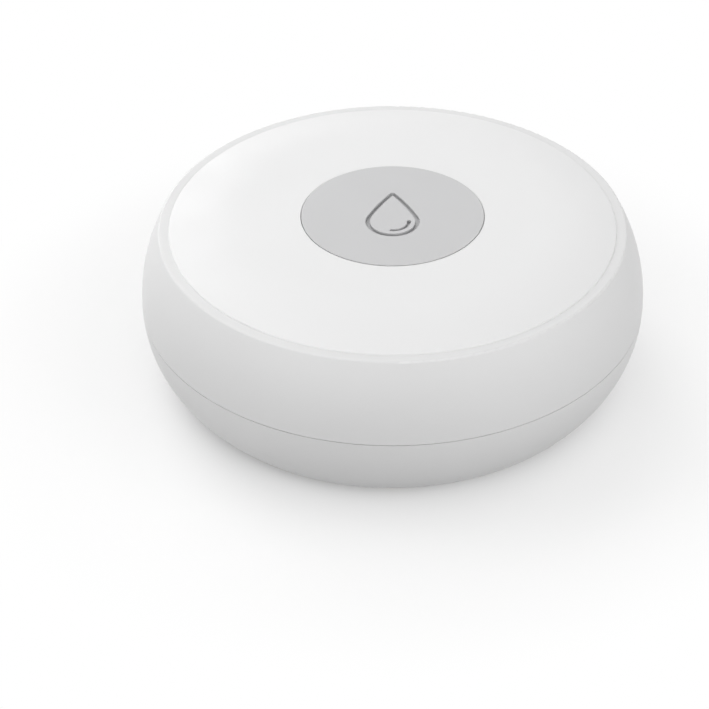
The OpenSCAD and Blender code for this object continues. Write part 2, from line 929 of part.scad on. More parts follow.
module battery_door() {
    color("white")
    difference() {
        union() {
            rotate_extrude($fn = 180)
                difference() {
                    union() {
                        band_2d(0, door_r, door_z, door_top_z);
                        band_2d(door_r - door_skirt_t, door_r, door_z, door_top_z + door_skirt_h);
                    }
                    band_2d(door_r - door_seal_depth, door_r + cross, door_seal_z - door_seal_d / 2,
                            door_seal_z + door_seal_d / 2);
                    polygon([[door_r - door_edge, door_z - cross], [door_r - door_edge, door_z],
                             [door_r, door_z + door_edge], [door_r + cross, door_z + door_edge],
                             [door_r + cross, door_z - cross]]);
                }
            for (i = [0 : lug_count - 1])
                rotate([0, 0, 360 * i / lug_count])
                    ring_sector(door_r - door_skirt_t / 2, lug_r, -lug_angle / 2, lug_angle / 2,
                                lug_z, lug_top_z);
        }
        around(door_r - door_edge - mark_edge - mark_len / 2, [mark_angle])
            translate([-mark_len / 2, -mark_line_w, door_z - cross])
                cube([mark_len, 2 * mark_line_w, mark_depth + cross]);
        translate([0, coin_slot_w / 2, door_z + coin_slot_depth - coin_r])
            rotate([90, 0, 0])
                cylinder(r = coin_r, h = coin_slot_w);
    }
}

module door_seal() {
    color("dimgray")
    seal_ring(door_r - door_seal_depth / 2, door_seal_d - slip_gap - touch_gap, door_seal_z);
}

module probe_feet() {
    color("goldenrod")
    around(ring_r, foot_angles)
        rotate_extrude() {
            difference() {
                band_2d(0, foot_r, 0, foot_seat_z - touch_gap);
                polygon([[foot_r - foot_round, -cross], [foot_r - foot_round, 0], [foot_r, foot_round],
                         [foot_r + cross, foot_round], [foot_r + cross, -cross]]);
            }
            band_2d(0, foot_shank_r, 0, foot_top_z);
        }
}

module probe_seals() {
    color("dimgray")
    around(ring_r, foot_angles)
        seal_ring(foot_bore_r + foot_seal_d / 2, foot_seal_d - slip_gap, foot_seat_z + foot_seal_room / 2);
}

module probe_retainers() {
    color("silver")
    around(ring_r, foot_angles)
        rotate_extrude()
            band_2d(foot_shank_r + touch_gap, retainer_r, foot_boss_z, foot_boss_z + retainer_t);
}

module probe_contacts() {
    foot_z = pcb_z - strip_t / 2;
    foot_len = 2.9;
    run = 3.2;
    past = 0.6;
    tip = [1.4, 0.6];
    touch = [past, foot_top_z + strip_t / 2 + touch_gap];
    heel = [past - run, foot_z];
    color("gold")
    around(ring_r, foot_angles)
        rotate([0, 0, 90])
            bent_strip([heel - [foot_len, 0], heel, touch, touch + tip], strip_t, probe_strip_w);
}

// Cross for a driver in a screw's head, centred on a height
module cross_recess(head_r, z) {
    for (a = [0, 90])
        rotate([0, 0, a])
            translate([0, 0, z])
                cube([1.2 * head_r, drive_w, drive_depth], center = true);
}

module base_screws() {
    color("silver")
    around(ring_r, screw_angles)
        difference() {
            union() {
                rod(screw_head_r, screw_seat_z - screw_head_h, screw_seat_z);
                rod(screw_r, screw_seat_z - cross, seam_z + screw_bite);
            }
            cross_recess(screw_head_r, screw_seat_z - screw_head_h + drive_depth / 2 - cross);
        }
}

module pcb_screws() {
    color("silver")
    around(post_ring_r, post_angles)
        difference() {
            union() {
                rod(pcb_screw_head_r, pcb_top_z, pcb_top_z + pcb_screw_head_h);
                rod(pcb_screw_r, pcb_z - pcb_screw_len, pcb_top_z + cross);
            }
            cross_recess(pcb_screw_head_r, pcb_top_z + pcb_screw_head_h);
        }
}

upper_shell();
top_cover();
button_cap();
button_seal();
switch_body();
switch_plunger();
main_pcb();
radio_board();
radio_shield();
chip_antenna();
controller_chip();
crystal();
storage_capacitor();
status_led();
battery_holder();
coin_cell();
positive_contact();
negative_contact();
base_shell();
shell_seal();
battery_door();
door_seal();
probe_feet();
probe_seals();
probe_retainers();
probe_contacts();
base_screws();
pcb_screws();
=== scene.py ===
# %% [markdown]
# # A water leak sensor
#
# The real thing is a white plastic puck that lies on the floor and calls for help when its metal
# feet get wet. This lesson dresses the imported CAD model: camera, floor and lamps first, then one
# finish after another, then the small pieces that deserve more than a plain solid.
#
# It leaves them all selected, so the first thing to do is to let go of them.

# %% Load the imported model
import math

import bmesh
import bpy
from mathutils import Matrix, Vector


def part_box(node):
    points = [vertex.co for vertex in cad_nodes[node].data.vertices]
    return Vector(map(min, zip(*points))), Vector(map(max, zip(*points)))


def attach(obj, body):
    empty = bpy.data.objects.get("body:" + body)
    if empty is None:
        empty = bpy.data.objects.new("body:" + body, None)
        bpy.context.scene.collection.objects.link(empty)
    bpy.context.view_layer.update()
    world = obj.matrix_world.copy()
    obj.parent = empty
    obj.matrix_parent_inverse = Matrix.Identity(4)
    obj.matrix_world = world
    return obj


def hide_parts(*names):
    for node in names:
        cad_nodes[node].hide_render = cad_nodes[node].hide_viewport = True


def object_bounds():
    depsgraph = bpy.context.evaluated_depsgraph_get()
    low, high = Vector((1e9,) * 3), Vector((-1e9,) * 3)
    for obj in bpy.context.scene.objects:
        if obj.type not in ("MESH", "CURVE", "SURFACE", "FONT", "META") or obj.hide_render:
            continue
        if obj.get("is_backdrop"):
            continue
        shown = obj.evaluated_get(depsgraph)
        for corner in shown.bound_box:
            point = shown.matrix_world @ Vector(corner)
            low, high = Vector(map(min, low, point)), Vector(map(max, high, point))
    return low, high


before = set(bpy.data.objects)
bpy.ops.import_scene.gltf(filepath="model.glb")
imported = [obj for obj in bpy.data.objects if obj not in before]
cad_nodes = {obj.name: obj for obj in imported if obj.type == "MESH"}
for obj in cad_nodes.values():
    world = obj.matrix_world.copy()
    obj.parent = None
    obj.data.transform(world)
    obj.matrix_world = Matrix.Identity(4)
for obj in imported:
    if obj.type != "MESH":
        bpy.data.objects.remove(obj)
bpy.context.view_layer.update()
MM = 0.001


def size_mm(low, high):
    """Gives the three sides of a box in millimetres."""
    return [round(side / MM, 2) for side in high - low]


bpy.ops.object.select_all(action="DESELECT")

# %% [markdown]
# ## The camera
#
# The photograph looks down on the puck at about two fifths of a right angle. A long lens keeps the
# ellipses round and calm. The puck sits right of the middle of the picture. Instead of turning the
# camera away from it, the picture is shifted on the sensor, so the puck's upright lines stay
# upright. The camera is placed by an azimuth, an elevation and a distance, and later the lamps are
# too, so two small functions do that for all of them.


# %% Camera
def direction(azimuth, elevation):
    """Gives the way outwards from the puck at two angles, with azimuth 0 on the camera's side."""
    turn, rise = math.radians(azimuth), math.radians(elevation)
    return Vector((math.sin(turn) * math.cos(rise), -math.cos(turn) * math.cos(rise),
                   math.sin(rise)))


def facing_back(out):
    """Gives the turn with which a camera or a lamp looks back along a direction."""
    return (-out).to_track_quat("-Z", "Y").to_euler()


CAMERA_LENS = 101.55
CAMERA_ELEVATION = 36.7
CAMERA_DISTANCE = 0.2717
CAMERA_AIM = Vector((0, 0, 0.0026))
CAMERA_SHIFT = -0.0537
CAMERA_NEAR = 0.01

out = direction(0, CAMERA_ELEVATION)
bpy.ops.object.camera_add(location=CAMERA_AIM + CAMERA_DISTANCE * out)
camera = bpy.context.object
camera.name = "photo_camera"
camera.rotation_euler = facing_back(out)
camera.data.lens = CAMERA_LENS
camera.data.shift_x = CAMERA_SHIFT
camera.data.clip_start = CAMERA_NEAR
scene = bpy.context.scene
scene.camera = camera
scene.view_settings.view_transform = "Standard"
print("camera at", [round(c, 4) for c in camera.location])

# %% [markdown]
# ## Nodes in code
#
# A material is a drawing of boxes and wires. In the shader editor a box comes from a menu, its
# settings are chosen, and each of its sockets gets a value or a wire. These functions stand for
# those clicks, so that the materials further down read like the drawing itself. The settings come
# before the sockets, because some sockets only appear once a setting asks for them.


# %% Node helpers
def feed(tree, source, socket):
    """Gives a socket a value, or a wire from another socket."""
    if isinstance(source, bpy.types.NodeSocket):
        tree.links.new(source, socket)
    else:
        socket.default_value = source


def socket_name(word):
    """Turns a word such as from_min into the name on a socket, From Min."""
    return word.replace("_", " ").title()


def add(tree, kind, settings=None, **inputs):
    """Adds a node, chooses its settings and feeds the inputs that are named."""
    node = tree.nodes.new(kind)
    for setting, choice in (settings or {}).items():
        setattr(node, setting, choice)
    for word, source in inputs.items():
        feed(tree, source, node.inputs[socket_name(word)])
    return node


def maths(tree, operation, *terms):
    """Adds a Math node on values or sockets and returns its result."""
    node = add(tree, "ShaderNodeMath", {"operation": operation})
    for term, socket in zip(terms, node.inputs):
        feed(tree, term, socket)
    return node.outputs[0]


def ranged(tree, value, low, high, from_low=0.0, from_high=1.0):
    """Maps a value from one range on to the range from low to high and returns the result."""
    node = add(tree, "ShaderNodeMapRange", value=value, from_min=from_low, from_max=from_high,
               to_min=low, to_max=high)
    return node.outputs["Result"]


print("node helpers are ready")

# %% [markdown]
# ## The white surroundings
#
# A product photo has no walls: everything behind the object is white. A white world would also
# light the object from all sides and wash out its shape. The Light Path node solves that: rays
# that come from the camera, or from a mirror-like reflection, see white, and the rays that carry
# soft light see nothing.


# %% World
def seen_directly(tree):
    """Adds a mask that is 1 for camera, glossy and transmission rays, and returns it."""
    rays = add(tree, "ShaderNodeLightPath").outputs
    eye_or_sheen = maths(tree, "MAXIMUM", rays["Is Camera Ray"], rays["Is Glossy Ray"])
    return maths(tree, "MAXIMUM", eye_or_sheen, rays["Is Transmission Ray"])


PLAIN_WHITE = (1, 1, 1, 1)

world = bpy.data.worlds.new("white_surroundings")
world.use_nodes = True
scene.world = world
air = world.node_tree
feed(air, PLAIN_WHITE, air.nodes["Background"].inputs["Color"])
feed(air, seen_directly(air), air.nodes["Background"].inputs["Strength"])
print("world is white to the eye and dark to soft light")

# %% [markdown]
# ## The floor
#
# The floor is one large plane. Near the puck it must take a soft shadow, and further out it must
# fade into the white without a horizon.

# %% Floor plane
FLOOR_SIZE = 6

bpy.ops.mesh.primitive_plane_add(size=FLOOR_SIZE)
floor = bpy.context.object
floor.name = "floor"
floor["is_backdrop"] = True

floor_paper = bpy.data.materials.new("floor_paper")
floor_paper.use_nodes = True
floor.data.materials.append(floor_paper)
paper = floor_paper.node_tree
paper.nodes.clear()
print("floor of", FLOOR_SIZE, "by", FLOOR_SIZE, "m")

# %% [markdown]
# ### Rings round the puck
#
# How much the floor glows depends on how far it is from the puck: not at all under the puck's
# edge, where the shadow is deepest, then quickly more, as an exponential curve, and only white
# beyond a hand's breadth. A painted picture could give such rings too, but the distance from one
# point is exact and has no pixels. The rings lie a little behind the puck, because the
# photograph's shadow is deeper at its sides than in front.

# %% Floor rings
# The floor's glow is painted light, and its absence near the puck's edge is a painted shadow round
# the puck.
RINGS_AT = (-0.5 * MM, 4.5 * MM, 0)
GLOW_AROUND = 0.595
GLOW_FROM, GLOW_LENGTH, GLOW_LENGTHS = 27.9 * MM, 1.8 * MM, 6.0
FADE_FROM, FADE_TO = 40 * MM, 64 * MM


def object_place(tree):
    """Gives a surface's place in its own object, so that a pattern stays on the piece."""
    return add(tree, "ShaderNodeTexCoord").outputs["Object"]


ring = add(paper, "ShaderNodeVectorMath", {"operation": "DISTANCE"}, vector=object_place(paper))
ring.inputs[1].default_value = RINGS_AT
distance = ring.outputs["Value"]
glow_end = GLOW_FROM + GLOW_LENGTHS * GLOW_LENGTH
lengths_out = ranged(paper, distance, 0.0, -GLOW_LENGTHS, GLOW_FROM, glow_end)
glow_rise = ranged(paper, maths(paper, "EXPONENT", lengths_out), GLOW_AROUND, 0.0)
fade = add(paper, "ShaderNodeMapRange", {"interpolation_type": "SMOOTHSTEP"}, value=distance,
           from_min=FADE_FROM, from_max=FADE_TO).outputs["Result"]
print("glow from", GLOW_FROM / MM, "mm, fading to white from", FADE_FROM / MM, "to", FADE_TO / MM)

# %% [markdown]
# ### The floor's shaders
#
# To the eye the floor is a matte surface with that glow added, which fades into plain white. Soft
# light that bounces from the floor meets another, darker shader: the puck's lower half gets darker
# towards the floor, and a bright floor would light it up from below.

# %% Floor shaders
FLOOR_PALE = (0.4, 0.4, 0.4, 1)
FLOOR_BOUNCE = (0.35, 0.35, 0.35, 1)


def blend(factor, first, second):
    """Mixes two of the floor's shaders, all of the first at 0 and all of the second at 1."""
    node = add(paper, "ShaderNodeMixShader")
    for source, socket in zip((factor, first, second), node.inputs):
        feed(paper, source, socket)
    return node.outputs[0]


pale = add(paper, "ShaderNodeBsdfDiffuse", color=FLOOR_PALE)
glow = add(paper, "ShaderNodeEmission", strength=glow_rise)
white = add(paper, "ShaderNodeEmission", strength=1)
bounce = add(paper, "ShaderNodeBsdfDiffuse", color=FLOOR_BOUNCE)
lit = add(paper, "ShaderNodeAddShader")
for part, socket in zip((pale, glow), lit.inputs):
    feed(paper, part.outputs[0], socket)
seen = blend(fade, lit.outputs[0], white.outputs[0])
either = blend(seen_directly(paper), bounce.outputs[0], seen)
add(paper, "ShaderNodeOutputMaterial", surface=either)
print("floor paper has", len(paper.nodes), "nodes")

# %% [markdown]
# ## The lamps
#
# The puck stood in a light tent: soft light from many sides, a little stronger from the left, so
# that the white wall shades gently from left to right. Round area lamps at arm's length do the
# same. Their azimuth is counted from the camera's side towards the right, and each is turned to
# the middle of the puck. In a tent the cloth hides the lamps, so a reflection shows white cloth
# and no lamp. Only the patches of cloth behind the puck are brighter than the rest, and the
# cover's sheen shows them. The other lamps are kept out of reflections, or the cover would turn
# plain white wherever it is seen at a low angle.

# %% Lamps
LAMP_DISTANCE = 0.9
LAMP_SIZE = 0.6
LAMPS = {  # azimuth and elevation in degrees, power in watts
    "front": (30, 25, 1.22),
    "front_right": (60, 25, 1.9),
    "right_low": (90, 12, 1.45),
    "right_high": (90, 68, 1.18),
    "back": (180, 25, 0.6),
    "back_left": (210, 25, 2.8),
    "left_high": (240, 68, 2.2),
    "left": (270, 25, 1.85),
    "front_left_low": (330, 12, 2.7),
    "front_high": (330, 68, 0.7),
}
SHEEN_FROM = ("back", "back_left", "left_high")

for name, (azimuth, elevation, watts) in LAMPS.items():
    out = direction(azimuth, elevation)
    bpy.ops.object.light_add(type="AREA", location=LAMP_DISTANCE * out)
    lamp = bpy.context.object
    lamp.name = "lamp_" + name
    lamp.rotation_euler = facing_back(out)
    lamp.data.shape = "DISK"
    lamp.data.size = LAMP_SIZE
    lamp.data.energy = watts
    lamp.visible_camera = False
    lamp.visible_glossy = name in SHEEN_FROM
print(len(LAMPS), "lamps, together", round(sum(w for _, _, w in LAMPS.values()), 1), "W")

# %% [markdown]
# ## Finishes that several materials share
#
# Two effects come back all over the sensor: the skin of moulded plastic and that of worked metal.
# Each becomes a node group with named inputs, so that every material can place it with its own
# values, and one repair mends them all. Both change the tone in patches and the gloss in smears,
# by noise textures, so that part is written once here.


# %% Node group helpers
NOISE_LOW, NOISE_HIGH = 0.3, 0.7


def new_group(name, **values):
    """Makes a node group for a finish and returns it with its input and output sockets."""
    group = bpy.data.node_groups.new(name, "ShaderNodeTree")
    group.interface.new_socket("Color", in_out="INPUT", socket_type="NodeSocketColor")
    for word, value in values.items():
        made = group.interface.new_socket(socket_name(word), in_out="INPUT",
                                          socket_type="NodeSocketFloat")
        made.default_value = value
    for socket, kind in (("Color", "NodeSocketColor"), ("Roughness", "NodeSocketFloat"),
                         ("Height", "NodeSocketFloat")):
        group.interface.new_socket(socket, in_out="OUTPUT", socket_type=kind)
    given, result = group.nodes.new("NodeGroupInput"), group.nodes.new("NodeGroupOutput")
    return group, given.outputs, result.inputs


def noise(tree, place, scale, detail=2.0):
    """Adds a noise texture and returns its value, most of it from NOISE_LOW to NOISE_HIGH."""
    node = add(tree, "ShaderNodeTexNoise", vector=place, scale=scale, detail=detail)
    return node.outputs["Fac"]


def tinted(tree, colour, factor):
    """Multiplies a colour by a factor and returns the result."""
    node = add(tree, "ShaderNodeVectorMath", {"operation": "SCALE"}, vector=colour, scale=factor)
    return node.outputs["Vector"]


def uneven(group, given, result, amount, patches, smears):
    """Darkens a group's colour by an amount in patches and changes its roughness in smears."""
    darkest = maths(group, "SUBTRACT", 1, given[amount])
    tone = ranged(group, patches, darkest, 1.0, NOISE_LOW, NOISE_HIGH)
    gloss = ranged(group, smears, given["Roughness Low"], given["Roughness High"],
                   NOISE_LOW, NOISE_HIGH)
    feed(group, tinted(group, given["Color"], tone), result["Color"])
    feed(group, gloss, result["Roughness"])


print("helpers for node groups are ready")

# %% [markdown]
# ### Moulded skin
#
# Moulded plastic is never one flat value: its tone drifts a little over the piece, its gloss is
# uneven, and the mould leaves a very fine grain. One noise could serve for all three, but then the
# darker places would also be the duller ones, so each has its own, at its own scale.

# %% Moulded skin
DRIFT_SCALE, GLOSS_SCALE = 45.0, 160.0

moulded, given, result = new_group("moulded_skin", drift=0.02, roughness_low=0.32,
                                   roughness_high=0.4, grain_scale=4000.0)
place = object_place(moulded)
uneven(moulded, given, result, "Drift", noise(moulded, place, DRIFT_SCALE),
       noise(moulded, place, GLOSS_SCALE))
feed(moulded, noise(moulded, place, given["Grain Scale"], detail=1.0), result["Height"])
print("group moulded_skin has", len(moulded.nodes), "nodes")

# %% [markdown]
# ### Worked metal
#
# Metal parts carry a tarnish in patches and fine scratches along the way that they were worked.
# A scratch is a noise that is stretched: its coordinates are scaled far less along the scratch
# than across it.

# %% Worked metal
TARNISH_SCALE, SMEAR_SCALE = 350.0, 600.0
SCRATCH_SCALE = (400, 9000, 9000)

worked, given, result = new_group("worked_metal", tarnish=0.15, roughness_low=0.2,
                                  roughness_high=0.35)
place = object_place(worked)
uneven(worked, given, result, "Tarnish", noise(worked, place, TARNISH_SCALE, detail=4.0),
       noise(worked, place, SMEAR_SCALE, detail=3.0))
stretched = add(worked, "ShaderNodeMapping", vector=place, scale=SCRATCH_SCALE)
feed(worked, noise(worked, stretched.outputs["Vector"], scale=1.0), result["Height"])
print("group worked_metal has", len(worked.nodes), "nodes")

# %% [markdown]
# ## A recipe for a material
#
# Every finish below is one Principled shader fed by one of the two groups. A small function lays
# that out, and what differs from finish to finish is passed in: the colour, how uneven it is, how
# glossy, and how deep the skin is. The depth goes into a Bump node, in metres, so it stays true to
# size.


# %% Material recipe
def finish(name, group, colour, bump, metallic=0.0, **values):
    """Makes a material from a shared group, with nodes named skin and relief."""
    material = bpy.data.materials.new(name)
    material.use_nodes = True
    tree = material.node_tree
    skin = add(tree, "ShaderNodeGroup", {"node_tree": group, "name": "skin"},
               color=(*colour, 1), **values)
    relief = add(tree, "ShaderNodeBump", {"name": "relief"}, strength=1, distance=bump,
                 height=skin.outputs["Height"])
    shader = tree.nodes["Principled BSDF"].inputs
    feed(tree, metallic, shader["Metallic"])
    feed(tree, skin.outputs["Color"], shader["Base Color"])
    feed(tree, skin.outputs["Roughness"], shader["Roughness"])
    feed(tree, relief.outputs["Normal"], shader["Normal"])
    return material


def dress(material, *names):
    """Puts a material into the slots of the named CAD nodes."""
    for name in names:
        slots = cad_nodes[name].data.materials
        slots.clear()
        slots.append(material)
    print(material.name, "on", ", ".join(names))


print("the recipe for materials is ready")

# %% [markdown]
# ## White housing
#
# Both halves, the cover and the battery door are the same white satin plastic. The flat band round
# the cover gets painted shade, a touch darker than the cover beside it, so the upper half gets its
# own material: a mask by height finds the band, which is the top of that half, and takes a little
# of the white away.

# %% White plastic
WHITE = (0.86, 0.86, 0.86)
HOUSING_SKIN = {"bump": 3e-6, "drift": 0.012, "roughness_low": 0.44, "roughness_high": 0.52,
                "grain_scale": 3500.0}
# The band's tone is painted shade, which darkens the top of the upper half.
BAND_SHADE_TONE = 0.92
BAND_SHADE_STARTS, BAND_SHADE_FULL = 0.06 * MM, 0.01 * MM


def tone_by_height(material, low, high, low_tone, high_tone):
    """Multiplies a material's colour by a tone that changes from one height to another."""
    tree = material.node_tree
    height = add(tree, "ShaderNodeSeparateXYZ", vector=object_place(tree)).outputs["Z"]
    tone = ranged(tree, height, low_tone, high_tone, low, high)
    toned = tinted(tree, tree.nodes["skin"].outputs["Color"], tone)
    feed(tree, toned, tree.nodes["Principled BSDF"].inputs["Base Color"])


shell_white = finish("satin_white", moulded, WHITE, **HOUSING_SKIN)
dress(shell_white, "top_cover", "base_shell", "battery_door")

# This copy of the white carries the band's painted shade.
band_shaded_white = finish("satin_white_with_band", moulded, WHITE, **HOUSING_SKIN)
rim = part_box("upper_shell")[1].z
tone_by_height(band_shaded_white, rim - BAND_SHADE_STARTS, rim - BAND_SHADE_FULL, 1.0, BAND_SHADE_TONE)
dress(band_shaded_white, "upper_shell")

# %% [markdown]
# ## Grey button
#
# The button is the same kind of plastic in a light neutral grey. The drop on it is engraved in the
# CAD model, so its line has real depth and shadow. A mask by height also takes some of the grey
# away below the face, so the groove comes out darker still.

# %% Grey plastic
GREY = (0.6, 0.6, 0.605)
DROP_TONE = 0.84
DROP_FULL, DROP_STARTS = 0.25 * MM, 0.1 * MM

button_grey = finish("satin_grey", moulded, GREY, **HOUSING_SKIN)
button_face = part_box("button_cap")[1].z
tone_by_height(button_grey, button_face - DROP_FULL, button_face - DROP_STARTS, DROP_TONE, 1.0)
dress(button_grey, "button_cap")

# %% [markdown]
# ## Rubber and ivory
#
# Nothing of this shows from outside, but the sensor can be taken apart, so each piece gets its own
# finish: soft dark rubber for the seals and ivory plastic for the cell's cradle. Rubber is almost
# black and dull, and its tone drifts more than that of hard plastic.

# %% Rubber and ivory
rubber = finish("soft_rubber", moulded, colour=(0.035, 0.035, 0.038), bump=8e-6, drift=0.25,
                roughness_low=0.55, roughness_high=0.75, grain_scale=5000.0)
dress(rubber, "button_seal", "shell_seal", "door_seal", "probe_seals")
ivory = finish("ivory_plastic", moulded, colour=(0.72, 0.68, 0.56), bump=5e-6, drift=0.05,
               roughness_low=0.4, roughness_high=0.5)
dress(ivory, "battery_holder")

# %% [markdown]
# ## The parts on the board
#
# Chips are black epoxy, the antenna is fired ceramic, the switch's plunger is dark grey plastic
# and the lamp is clear resin. They are small, so their grain is finer than the housing's. The
# resin gets a coat, because a lamp's lens is polished. All but the lamp are modelled again further
# down and take their finish there.

# %% Board part finishes
LENS_COAT = 0.5

epoxy = finish("black_epoxy", moulded, colour=(0.03, 0.03, 0.033), bump=6e-6, drift=0.2,
               roughness_low=0.45, roughness_high=0.6, grain_scale=9000.0)
plunger_grey = finish("dark_grey_plastic", moulded, colour=(0.2, 0.2, 0.21), bump=4e-6, drift=0.08,
                      roughness_low=0.35, roughness_high=0.5)
ceramic = finish("fired_ceramic", moulded, colour=(0.55, 0.62, 0.7), bump=6e-6, drift=0.15,
                 roughness_low=0.5, roughness_high=0.65, grain_scale=12000.0)
resin = finish("clear_resin", moulded, colour=(0.85, 0.78, 0.45), bump=2e-6, drift=0.1,
               roughness_low=0.15, roughness_high=0.25)
resin.node_tree.nodes["Principled BSDF"].inputs["Coat Weight"].default_value = LENS_COAT
dress(resin, "status_led")

# %% [markdown]
# ## Circuit boards
#
# Green solder mask lies over copper tracks. Tracks run side by side in patches, level here and
# upright there. So a Voronoi texture cuts the board into patches and gives each a random colour,
# and that picks one of two Wave textures, whose bands are the tracks. Some patches are solid
# copper. Each mask changes from 0 to 1 between two values that lie close together, which gives
# the tracks a crisp edge.


# %% Copper tracks
TRACK_EDGE = (0.5, 0.7)
HALF_OF_PATCHES = (0.49, 0.51)
SOLID_PATCHES = (0.79, 0.81)
FLATTEN = (1, 1, 0)


def mask(tree, value, edge):
    """Makes a mask that goes from 0 to 1 between the two values of an edge."""
    return ranged(tree, value, 0.0, 1.0, *edge)


def bands(tree, place, across, tracks):
    """Makes a mask of parallel bands."""
    wave = add(tree, "ShaderNodeTexWave", {"bands_direction": across}, vector=place,
               scale=tracks)
    return mask(tree, wave.outputs["Fac"], TRACK_EDGE)


def tracks_mask(tree, patches, tracks):
    """Makes a mask of copper tracks that run in patches."""
    level = add(tree, "ShaderNodeMapping", vector=object_place(tree), scale=FLATTEN)
    flat = level.outputs["Vector"]
    cells = add(tree, "ShaderNodeTexVoronoi", {"distance": "CHEBYCHEV"}, vector=flat,
                scale=patches)
    random = add(tree, "ShaderNodeSeparateColor", color=cells.outputs["Color"]).outputs
    way = add(tree, "ShaderNodeMix", factor=mask(tree, random["Red"], HALF_OF_PATCHES),
              a=bands(tree, flat, "X", tracks), b=bands(tree, flat, "Y", tracks))
    solid = mask(tree, random["Green"], SOLID_PATCHES)
    return maths(tree, "MAXIMUM", way.outputs["Result"], solid)


print("the pattern of the copper tracks is ready")

# %% [markdown]
# ### Solder mask
#
# Where a track runs, the mask over it is a little lighter and stands up by the copper's thickness.
# The sawn edge of a board shows bare fibre. The edge is found by the way its surface looks: the
# faces of a board look up or down, and its edge looks sideways.

# %% Solder mask
FIBRE = (0.42, 0.36, 0.2, 1)
COPPER_LIFT = 1.6
FACE_LOOKS_UP = (0.4, 0.6)


def board_finish(name, colour, patches, tracks):
    """Makes a solder mask with tracks that show through it and bare fibre on the sawn edge."""
    material = finish(name, moulded, colour, bump=2e-5, drift=0.12, roughness_low=0.28,
                      roughness_high=0.42, grain_scale=6000.0)
    tree = material.node_tree
    track = tracks_mask(tree, patches, tracks)
    lift = ranged(tree, track, 1.0, COPPER_LIFT)
    covered = tinted(tree, tree.nodes["skin"].outputs["Color"], lift)
    normal = add(tree, "ShaderNodeNewGeometry").outputs["Normal"]
    upright = add(tree, "ShaderNodeSeparateXYZ", vector=normal).outputs["Z"]
    face = mask(tree, maths(tree, "ABSOLUTE", upright), FACE_LOOKS_UP)
    sawn = add(tree, "ShaderNodeMix", {"data_type": "RGBA"}, factor=face, a=FIBRE, b=covered)
    feed(tree, sawn.outputs["Result"], tree.nodes["Principled BSDF"].inputs["Base Color"])
    feed(tree, track, tree.nodes["relief"].inputs["Height"])
    return material


dress(board_finish("solder_mask", (0.03, 0.17, 0.075), patches=170.0, tracks=330.0), "main_pcb")
dress(board_finish("fine_solder_mask", (0.02, 0.12, 0.06), patches=300.0, tracks=600.0),
      "radio_board")

# %% [markdown]
# ## Metals
#
# The probe feet and the springs are gold-plated so that water and years don't eat them. The screws
# are zinc plated, the coin cell is nickel-plated steel and the cans on the board are tinned. One
# recipe serves them all, so a table is enough.

# %% Metal finishes
METALS = {  # colour, tarnish, lowest and highest roughness, depth of the scratches in metres
    "tinned_steel": ((0.66, 0.66, 0.64), 0.12, 0.28, 0.4, 1.5e-6),
    "nickel_plate": ((0.7, 0.7, 0.69), 0.1, 0.2, 0.32, 1.5e-6),
    "gold_plate": ((0.8, 0.58, 0.22), 0.12, 0.2, 0.32, 1e-6),
    "polished_gold_plate": ((0.83, 0.64, 0.3), 0.15, 0.14, 0.28, 1e-6),
    "zinc_plate": ((0.6, 0.6, 0.61), 0.2, 0.25, 0.4, 1.5e-6),
}

metal = {}
for name, (colour, tarnish, smooth, rough, scratches) in METALS.items():
    metal[name] = finish(name, worked, colour, bump=scratches, metallic=1.0, tarnish=tarnish,
                         roughness_low=smooth, roughness_high=rough)
print(len(metal), "metal finishes:", ", ".join(metal))

# %% [markdown]
# ## Picking and shaping
#
# The next pieces are modelled by hand: a primitive is placed, its place is moved into its mesh, and
# then faces and edges are picked by where they are and shaped. These helpers do the picking, so
# that each step below reads like the click that it stands for.


# %% Picking and shaping
SAME_HEIGHT = 1e-6


def alone(piece):
    """Makes a piece the only selected one and the active one."""
    bpy.ops.object.select_all(action="DESELECT")
    piece.select_set(True)
    bpy.context.view_layer.objects.active = piece


def begin(name):
    """Names the new primitive, puts its place into its mesh and opens it for editing."""
    piece = bpy.context.object
    alone(piece)
    piece.name = piece.data.name = name
    bpy.ops.object.transform_apply(location=True, rotation=True, scale=True)
    bpy.ops.object.mode_set(mode="EDIT")
    return piece


def pick(kind, test):
    """In edit mode, selects the faces, edges or vertices that pass a test on their middle."""
    bpy.ops.mesh.select_mode(type={"faces": "FACE", "edges": "EDGE", "verts": "VERT"}[kind])
    bpy.ops.mesh.select_all(action="DESELECT")
    mesh = bmesh.from_edit_mesh(bpy.context.object.data)
    for item in getattr(mesh, kind):
        corners = [item.co] if kind == "verts" else [vert.co for vert in item.verts]
        if test(sum(corners, Vector()) / len(corners), corners):
            item.select_set(True)
    mesh.select_flush_mode()
    bmesh.update_edit_mesh(bpy.context.object.data)


def pick_level(kind, height):
    """Selects what lies flat at a height."""
    pick(kind, lambda middle, corners: all(abs(c.z - height) < SAME_HEIGHT for c in corners))


def apply_modifier(piece, kind, **settings):
    """Adds a modifier to a piece and applies it."""
    alone(piece)
    modifier = piece.modifiers.new(kind.lower(), kind)
    for name, value in settings.items():
        setattr(modifier, name, value)
    bpy.ops.object.modifier_apply(modifier=modifier.name)


print("helpers for picking and shaping are ready")

# %% [markdown]
# ## Handing a piece over
#
# A finished piece gets smooth shading and its material, it rides on a body of the model, and it
# stands for the plain CAD node. Feet and screws come in threes round the upright axis. One of them
# is measured on its CAD solid and modelled, and the others are turned copies, each with its own
# mesh.

# %% Handing over
SMOOTH_ANGLE = math.radians(35)
THIRDS = (120, 240)
REACH = 60


def settle(piece, node, slot, *materials, body="housing"):
    """Hands a modelled piece over in place of a CAD node."""
    if bpy.context.object and bpy.context.object.mode == "EDIT":
        bpy.ops.object.mode_set(mode="OBJECT")
    alone(piece)
    bpy.ops.object.shade_smooth_by_angle(angle=SMOOTH_ANGLE)
    for material in materials:
        piece.data.materials.append(material)
    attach(piece, body)
    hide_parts(node)
    print(piece.name, "stands for", node, "with", len(piece.data.polygons), "faces")


